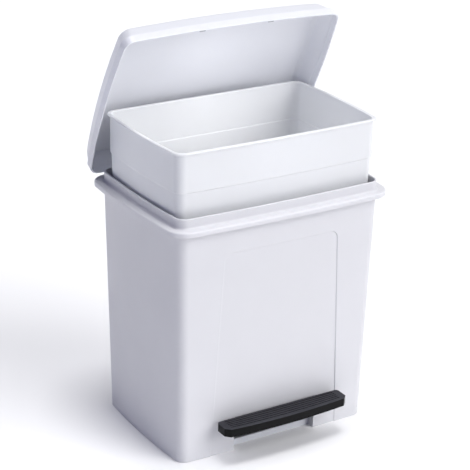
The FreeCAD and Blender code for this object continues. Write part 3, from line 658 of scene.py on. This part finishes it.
def is_pocket_edge(edge, sizes):
    """Whether an edge lies where the front wall turns into the pedal opening."""
    half, top = sizes.pocket_half_w, sizes.pocket_top
    front = all(vert.co.y < -sizes.base_half_d + 0.5 * MM for vert in edge.verts)
    inside = all(abs(vert.co.x) < half + 1e-5 and vert.co.z < top + 1e-5 for vert in edge.verts)
    return front and inside and any(vert.co.z > SHELL_LOW.z + 1e-5 for vert in edge.verts)


# --- lid ---
CRANK_HOLE_X, CRANK_HOLE_UP = 11.0 * MM, 22.0 * MM   # the crank's two screw holes, from the hinge
CRANK_HOLE_R = 1.52 * MM
KNUCKLE_HALF = 5.5 * MM                         # half a knuckle's length
KNUCKLE_BACK = 2.0 * MM                         # its web reaches this far behind the hinge line
KNUCKLE_FRONT = 5.0 * MM                        # and this far in front of it


def lid_outline(sizes):
    """The closed lid's outline at a station, which is (inset, height, distance in from the outer skin)."""
    def outline(home, station):
        inset, gap = station[0], station[2]
        beyond = max(0.0, inset - sizes.inset)
        rear = sizes.rear_inset * min(1.0, inset / sizes.inset) + beyond
        front = HINGE.y - sizes.length + inset + gap
        radius = max(8.0 * MM, sizes.corner - 0.4 * gap - 0.5 * beyond)
        return round_rectangle(home, sizes.half_w - inset - gap, front, HINGE.y - rear - gap, radius,
                               sizes.side_bow, sizes.front_bow)
    return outline


def lid_skin(sizes, gap):
    """One skin's stations: rim band, step, sloping wall and the edge of the top panel, then in over it."""
    drop = 0.6 * gap
    top = sizes.height - gap
    section = rounded([
        (0.0, 0.0, 0.0),
        (0.0, sizes.band - drop, 0.7 * MM),
        (sizes.step, sizes.band + sizes.step - drop, 0.9 * MM),
        (0.62 * sizes.inset, sizes.height - 7.0 * MM - drop, 6.0 * MM),
        (sizes.inset, top, 5.0 * MM),
        (sizes.inset + 14.0 * MM, top, 0.0),
        (sizes.inset + 50.0 * MM, top, 0.0),
        (sizes.inset + 95.0 * MM, top, 0.0),
    ], 5)
    return [(inset, sizes.rim_z + height, gap) for inset, height in section]


def add_knuckle(bm, middle, sizes):
    """A hinge knuckle and the web that joins it to the lid's rear wall."""
    y, z = HINGE.y, HINGE.z
    web_top = z + sizes.band + 2.4 * MM
    turn = math.degrees(math.acos(KNUCKLE_BACK / HINGE_R))
    start = math.degrees(math.acos(-KNUCKLE_FRONT / HINGE_R))
    points = [(y - KNUCKLE_FRONT, web_top)]
    points += arc((y, z), HINGE_R, start, 360.0 + turn, 26)
    points += [(y + KNUCKLE_BACK, web_top)]
    form = bmesh.new()
    add_prism(form, points, middle - KNUCKLE_HALF, middle + KNUCKLE_HALF)
    tidied(form)
    soften(form, 0.4 * MM, 60.0)
    bore = bmesh.new()
    add_bar(bore, PIN_R + 0.05 * MM, middle - 9.0 * MM, middle + 9.0 * MM, y, z)
    absorb(bm, carved(form, bore))


def build_lid(sizes):
    """The lid: one skin carried out to the rim and back inside it, with a knuckle for each hinge pin."""
    bm = bmesh.new()
    stations = lid_skin(sizes, 0.0)[::-1] + lid_skin(sizes, sizes.wall)
    for end in sweep_rings(bm, stations, lid_outline(sizes)):
        bmesh.ops.contextual_create(bm, geom=end)
    tidied(bm)
    soften(bm, 0.6 * MM, 60.0,
           chosen=lambda edge: all(vert.co.z < sizes.rim_z + CLOSE for vert in edge.verts))

    tool = bmesh.new()
    for side in (-1.0, 1.0):
        middle = side * HINGE_X
        add_box(tool, (middle - 16.0 * MM, HINGE.y - 12.0 * MM, sizes.rim_z - 5.0 * MM),
                (middle + 16.0 * MM, HINGE.y + 3.0 * MM, HINGE.z + 8.0 * MM))
    for x in (-CRANK_HOLE_X, CRANK_HOLE_X):
        matrix = (Matrix.Translation((x, HINGE.y, HINGE.z + CRANK_HOLE_UP))
                  @ Matrix.Rotation(math.pi / 2.0, 4, "X"))
        bmesh.ops.create_cone(tool, cap_ends=True, segments=24, radius1=CRANK_HOLE_R,
                              radius2=CRANK_HOLE_R, depth=16.0 * MM, matrix=matrix)
    bm = tidied(carved(bm, tool))
    for side in (-1.0, 1.0):
        add_knuckle(bm, side * HINGE_X, sizes)
    bmesh.ops.rotate(bm, verts=bm.verts[:], cent=HINGE, matrix=Matrix.Rotation(-LID_OPEN, 3, "X"))
    return bm


# --- bucket ---
def build_bucket(sizes, shell):
    """The bucket: a rounded rim, an upright band, a small step, and a body that narrows to its floor."""
    half_w = BUCKET_HIGH.x - shell.side_bow
    front = BUCKET_LOW.y + shell.front_bow
    back = BUCKET_HIGH.y
    top, bottom = BUCKET_HIGH.z, BUCKET_LOW.z
    band = top - sizes.band
    wall = -sizes.rim_out
    foot = wall - sizes.step - sizes.taper
    floor = bottom + sizes.floor

    def outline(home, station):
        out = station[0]
        radius = max(6.0 * MM, sizes.corner + 0.5 * out)
        return round_rectangle(home, half_w + out, front - out, back + out, radius, shell.side_bow,
                               shell.front_bow)

    inner = wall - sizes.wall
    inner_foot = foot - sizes.wall
    section = rounded([
        (foot - 90.0 * MM, bottom, 0.0),
        (foot - 40.0 * MM, bottom, 0.0),
        (foot, bottom, 3.5 * MM),
        (wall - sizes.step, band - sizes.step, 0.5 * MM),
        (wall, band, 0.5 * MM),
        (wall, top - sizes.rim_thick, 1.0 * MM),
        (0.0, top - sizes.rim_thick, 1.0 * MM),
        (0.0, top, 1.6 * MM),
        (inner, top, 1.6 * MM),
        (inner, band, 0.5 * MM),
        (inner - sizes.step, band - sizes.step, 0.5 * MM),
        (inner_foot, floor, 6.0 * MM),
        (inner_foot - 40.0 * MM, floor, 0.0),
        (inner_foot - 90.0 * MM, floor, 0.0),
    ])
    bm = bmesh.new()
    for end in sweep_rings(bm, section, outline):
        bmesh.ops.contextual_create(bm, geom=end)
    return tidied(bm)


# --- tread ---
GROOVE_END = 12.0 * MM                          # the grooves stop this far short of the tread's ends
GROOVE_FLOOR = 0.55                             # a groove's floor, as a share of its width
GROOVED = (0.16, 0.76)                          # where the first and last groove lie, from back to front
TOP_EXTRA = 2.0 * MM                            # the grooved top is thicker than the sides by this
POST_X, POST_Y = 45.0 * MM, -149.0 * MM         # the two posts for the lever's screws
POST_LOW, POST_TALL, POST_R = 57.7 * MM, 9.4 * MM, 4.5 * MM


def tread_front(x, sizes, inset):
    """The front edge's place along the tread: bowed, with cut-back corners."""
    front = TREAD_LOW.y + inset
    flat = TREAD_HIGH.x - inset - sizes.end_cut
    return front + sizes.bow * min(1.0, abs(x) / flat) ** 2 + max(0.0, abs(x) - flat)


def tread_back(x, sizes, inset):
    """The back edge's place along the tread: straight, with round corners."""
    radius = sizes.back_radius - inset
    beyond = max(0.0, abs(x) - (TREAD_HIGH.x - sizes.back_radius)) / radius
    return TREAD_HIGH.y - inset - radius * (1.0 - math.sqrt(max(0.0, 1.0 - beyond ** 2)))


def grooved_section(x, sizes):
    """The tread's closed side view at one place along it, each point (y, z)."""
    back, front = tread_back(x, sizes, 0.0), tread_front(x, sizes, 0.0)
    low, top = TREAD_LOW.z, TREAD_HIGH.z
    depth = sizes.groove_deep if TREAD_HIGH.x - abs(x) > GROOVE_END else 0.0
    half = sizes.groove_wide / 2.0
    first, last = GROOVED
    points = [(back, low), (back, top)]
    for number in range(sizes.grooves):
        share = first + (last - first) * number / max(1, sizes.grooves - 1)
        y = back + (front - back) * share
        points += [(y + half, top), (y + GROOVE_FLOOR * half, top - depth),
                   (y - GROOVE_FLOOR * half, top - depth), (y - half, top)]
    return points + [(front, top), (front, low)]


def hollow_section(x, sizes):
    """The closed side view of the space inside the cap, each point (y, z)."""
    back, front = tread_back(x, sizes, sizes.wall), tread_front(x, sizes, sizes.wall)
    low, top = TREAD_LOW.z, TREAD_HIGH.z - sizes.wall - TOP_EXTRA
    return [(back, low), (back, top), (front, top), (front, low)]


def tread_stations(sizes, inset):
    """Places along the tread, with one at each end of the grooves and at the corners."""
    half, radius = TREAD_HIGH.x - inset, sizes.back_radius - inset
    corner = [radius * (1.0 - math.cos(math.radians(angle))) for angle in (0.0, 22.0, 44.0, 66.0)]
    ends = corner + [radius, sizes.end_cut, GROOVE_END - inset, GROOVE_END - inset + 1.2 * MM]
    left = [-half + end for end in ends]
    middle = [left[-1] * (1.0 - step / 10.0) for step in range(1, 20)]
    return left + middle + [-x for x in reversed(left)]


def sweep_section(stations, section, sizes):
    """Carry a side view along X, from one closed end to the other."""
    bm = bmesh.new()
    order = bm.verts.layers.int.new("order")
    for number, (y, z) in enumerate(section(stations[0], sizes)):
        vert = bm.verts.new((stations[0], y, z))
        vert[order] = number
    bm.faces.new(bm.verts[:])
    edges = bm.edges[:]
    for x in stations[1:]:
        made = bmesh.ops.extrude_edge_only(bm, edges=edges)["geom"]
        verts = {item for item in made if isinstance(item, bmesh.types.BMVert)}
        edges = [item for item in made if isinstance(item, bmesh.types.BMEdge) and set(item.verts) <= verts]
        points = section(x, sizes)
        for vert in verts:
            y, z = points[vert[order]]
            vert.co = (x, y, z)
    bmesh.ops.contextual_create(bm, geom=edges)
    return tidied(bm)


def open_below(bm):
    """Take away the faces that close a swept piece at the tread's lower edge."""
    closing = [face for face in bm.faces
               if all(abs(vert.co.z - TREAD_LOW.z) < CLOSE for vert in face.verts)]
    bmesh.ops.delete(bm, geom=closing, context="FACES")


def close_rim(bm, sizes):
    """Join the cap's lower edge to the hollow's, which has as many vertices, all the way round."""
    loops = []
    for inset in (0.0, sizes.wall):
        rows = []
        for side in (tread_back, tread_front):
            row = [vert for vert in bm.verts if vert.is_boundary
                   and abs(vert.co.x) < TREAD_HIGH.x - inset + CLOSE
                   and abs(vert.co.y - side(vert.co.x, sizes, inset)) < CLOSE]
            rows.append(sorted(row, key=lambda vert: vert.co.x))
        loops.append(rows[0] + rows[1][::-1])
    outer, inner = loops
    for number in range(len(outer)):
        bm.faces.new((outer[number - 1], outer[number], inner[number], inner[number - 1]))


def is_tread_edge(edge):
    """Whether an edge runs round the tread's top."""
    upright = [abs(face.normal.z) < 0.1 for face in edge.link_faces]
    return any(upright) and all(vert.co.z > TREAD_HIGH.z - CLOSE for vert in edge.verts)


def build_tread(sizes):
    """The foot pedal: a grooved cap carried along X, hollow from below, with two screw posts."""
    bm = sweep_section(tread_stations(sizes, 0.0), grooved_section, sizes)
    soften(bm, 1.6 * MM, 25.0, segments=4, chosen=is_tread_edge)
    hollow = sweep_section(tread_stations(sizes, sizes.wall), hollow_section, sizes)
    open_below(bm)
    open_below(hollow)
    absorb(bm, hollow)
    close_rim(bm, sizes)
    bm = tidied(bm)
    for side in (-1.0, 1.0):
        post = bmesh.new()
        add_boss(post, side * POST_X, POST_Y, POST_LOW, TREAD_LOW.z + POST_TALL, POST_R, SCREW_BORE)
        absorb(bm, post)
    return bm


# --- operators ---
class BuildFinishes(bpy.types.Operator):
    """Make the plastics, the steels and the rubber."""

    bl_idname = "trash_can.finishes"
    bl_label = "Finishes"

    def execute(self, context):
        make_finishes(context.scene.can_colours)
        return {"FINISHED"}


class BuildShell(bpy.types.Operator):
    """Build the body with its flange, collar, panel and pedal opening."""

    bl_idname = "trash_can.shell"
    bl_label = "Outer shell"

    def execute(self, context):
        piece = finished(build_shell(context.scene.can_shell), "moulded_shell", "body",
                         FINISHES["shell"])
        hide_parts("outer_shell")
        return {"FINISHED"}


class BuildLid(bpy.types.Operator):
    """Build the open lid with its hinge knuckles."""

    bl_idname = "trash_can.lid"
    bl_label = "Lid"

    def execute(self, context):
        piece = finished(build_lid(context.scene.can_lid), "moulded_lid", "lid",
                         FINISHES["lid"])
        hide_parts("lid_shell")
        return {"FINISHED"}


class BuildBucket(bpy.types.Operator):
    """Build the lift-out bucket."""

    bl_idname = "trash_can.bucket"
    bl_label = "Bucket"

    def execute(self, context):
        scene = context.scene
        piece = finished(build_bucket(scene.can_bucket, scene.can_shell), "moulded_bucket", "inner_bucket",
                         FINISHES["bucket"])
        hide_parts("bucket")
        return {"FINISHED"}


class BuildTread(bpy.types.Operator):
    """Build the grooved foot pedal."""

    bl_idname = "trash_can.tread"
    bl_label = "Pedal tread"

    def execute(self, context):
        piece = finished(build_tread(context.scene.can_tread), "moulded_tread", "pedal",
                         FINISHES["tread"])
        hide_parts("pedal_tread")
        return {"FINISHED"}


class FinishMechanism(bpy.types.Operator):
    """Give the base, the lever, the rod, the pins and the screws their materials."""

    bl_idname = "trash_can.mechanism"
    bl_label = "Mechanism finishes"

    def execute(self, context):
        kinds = {
            "base": ("base_plate",),
            "lever": ("pedal_lever",),
            "nylon": ("rod_guide_lower", "rod_guide_upper", "lid_crank", "lever_pad", "rod_cap", "rod_foot"),
            "rubber": ("lid_buffer_left", "lid_buffer_right"),
            "steel": ("pedal_axle", "push_rod", "hinge_pin_left", "hinge_pin_right", "axle_clip_left",
                      "axle_clip_right"),
            "screw": ("base_screws", "guide_screws", "crank_screws", "tread_screws"),
        }
        for finish, names in kinds.items():
            for name in names:
                slots = frame["nodes"][name].data.materials
                slots.clear()
                slots.append(FINISHES[finish])
        return {"FINISHED"}


class BuildStage(bpy.types.Operator):
    """Set up the pale floor, the soft light and the camera."""

    bl_idname = "trash_can.stage"
    bl_label = "Studio"

    def execute(self, context):
        scene = context.scene
        sizes = scene.can_stage
        add_floor(scene)
        add_lights(scene, sizes)
        add_camera(scene, sizes)
        return {"FINISHED"}


def add_floor(scene):
    """A plain pale floor, large enough to fill the view."""
    bm = bmesh.new()
    bmesh.ops.create_grid(bm, x_segments=1, y_segments=1, size=14.0)
    mesh = bpy.data.meshes.new("studio_floor")
    bm.to_mesh(mesh)
    bm.free()
    material, tree = new_material("painted_studio_floor")
    shader = node(tree, "ShaderNodeBsdfPrincipled", {"Base Color": linear("#F7F7F8") + (1.0,),
                                                     "Roughness": 0.8, "Specular IOR Level": 0.2})
    node(tree, "ShaderNodeOutputMaterial", links={"Surface": shader.outputs["BSDF"]})
    mesh.materials.append(material)
    floor = bpy.data.objects.new("studio_floor", mesh)
    scene.collection.objects.link(floor)


def add_lights(scene, sizes):
    """A large soft key at the front right, one from above, a small fill over the bucket's mouth, and a
    room that is bright everywhere but at the left."""
    key = bpy.data.lights.new("key_light", "SUN")
    key.energy = sizes.key
    key.angle = math.radians(45.0)
    lamp = bpy.data.objects.new("key_light", key)
    az, el = sizes.key_azimuth, sizes.key_elevation
    towards = Vector((math.sin(az) * math.cos(el), -math.cos(az) * math.cos(el), math.sin(el)))
    lamp.rotation_euler = towards.to_track_quat("Z", "Y").to_euler()
    scene.collection.objects.link(lamp)

    sky = bpy.data.lights.new("top_light", "SUN")
    sky.energy = sizes.top
    sky.angle = math.radians(25.0)
    scene.collection.objects.link(bpy.data.objects.new("top_light", sky))

    fill = bpy.data.lights.new("fill_light", "POINT")
    fill.energy = sizes.fill
    fill.shadow_soft_size = 60.0 * MM
    lamp = bpy.data.objects.new("fill_light", fill)
    lamp.location = (0.0, BUCKET_LOW.y / 4.0, BUCKET_HIGH.z + 10.0 * MM)
    lamp.visible_camera = False
    lamp.visible_glossy = False
    scene.collection.objects.link(lamp)
    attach(lamp, "inner_bucket")

    world = bpy.data.worlds.new("studio_room")
    world.use_nodes = True
    tree = world.node_tree
    tree.nodes.clear()
    way = node(tree, "ShaderNodeTexCoord").outputs["Generated"]
    leftness = node(tree, "ShaderNodeVectorMath", {"operation": "DOT_PRODUCT"}, {0: way})
    leftness.inputs[1].default_value = (-0.97, -0.24, 0.0)
    level = node(tree, "ShaderNodeMapRange", {"interpolation_type": "SMOOTHSTEP", "From Min": 0.05,
                                              "From Max": 0.8}, {"Value": leftness.outputs["Value"]})
    bright = [sizes.room * part for part in sizes.room_colour]
    colour = mixed(tree, level.outputs["Result"], bright, sizes.shade_colour)
    glow = node(tree, "ShaderNodeBackground", {"Strength": 1.0}, {"Color": colour})
    node(tree, "ShaderNodeOutputWorld", links={"Surface": glow.outputs["Background"]})
    scene.world = world
    scene.view_settings.view_transform = "Standard"


def add_camera(scene, sizes):
    """The camera, looking down on the front left corner."""
    az, el, roll = sizes.azimuth, sizes.elevation, sizes.roll
    behind = Vector((math.sin(az) * math.cos(el), -math.cos(az) * math.cos(el), math.sin(el)))
    right = Vector((math.cos(az), math.sin(az), 0.0))
    up = behind.cross(right)
    turned_right = math.cos(roll) * right + math.sin(roll) * up
    turned_up = -math.sin(roll) * right + math.cos(roll) * up
    lens = bpy.data.cameras.new("studio_camera")
    lens.lens = sizes.lens
    lens.sensor_width = 36.0
    lens.clip_end = 50.0
    camera = bpy.data.objects.new("studio_camera", lens)
    turn = Matrix((turned_right, turned_up, behind)).transposed()
    camera.matrix_world = Matrix.Translation(sizes.place) @ turn.to_4x4()
    scene.collection.objects.link(camera)
    scene.camera = camera


# --- panel and registration ---
BUILDERS = (BuildFinishes, BuildShell, BuildLid, BuildBucket, BuildTread, FinishMechanism, BuildStage)


class TrashCanPanel(bpy.types.Panel):
    """Lists the builders of the trash can."""

    bl_idname = "VIEW3D_PT_trash_can"
    bl_label = "Pedal trash can"
    bl_space_type = "VIEW_3D"
    bl_region_type = "UI"
    bl_category = "Trash can"

    def draw(self, context):
        column = self.layout.column()
        for builder in BUILDERS:
            column.operator(builder.bl_idname)


SETTINGS = {"can_colours": CanColours, "can_shell": CanShell, "can_lid": CanLid, "can_bucket": CanBucket,
            "can_tread": CanTread, "can_stage": CanStage}


def register():
    """Make the settings, the operators and the panel known."""
    for group in (*SETTINGS.values(), *BUILDERS, TrashCanPanel):
        bpy.utils.register_class(group)
    for name, group in SETTINGS.items():
        setattr(bpy.types.Scene, name, PointerProperty(type=group))


def unregister():
    """Take them away again."""
    for name in SETTINGS:
        delattr(bpy.types.Scene, name)
    for group in reversed((*SETTINGS.values(), *BUILDERS, TrashCanPanel)):
        bpy.utils.unregister_class(group)


def main():
    """Build every piece and the stage."""
    register()
    for step in (bpy.ops.trash_can.finishes, bpy.ops.trash_can.shell, bpy.ops.trash_can.lid,
                 bpy.ops.trash_can.bucket, bpy.ops.trash_can.tread, bpy.ops.trash_can.mechanism,
                 bpy.ops.trash_can.stage):
        step()


if __name__ == "__main__":
    main()
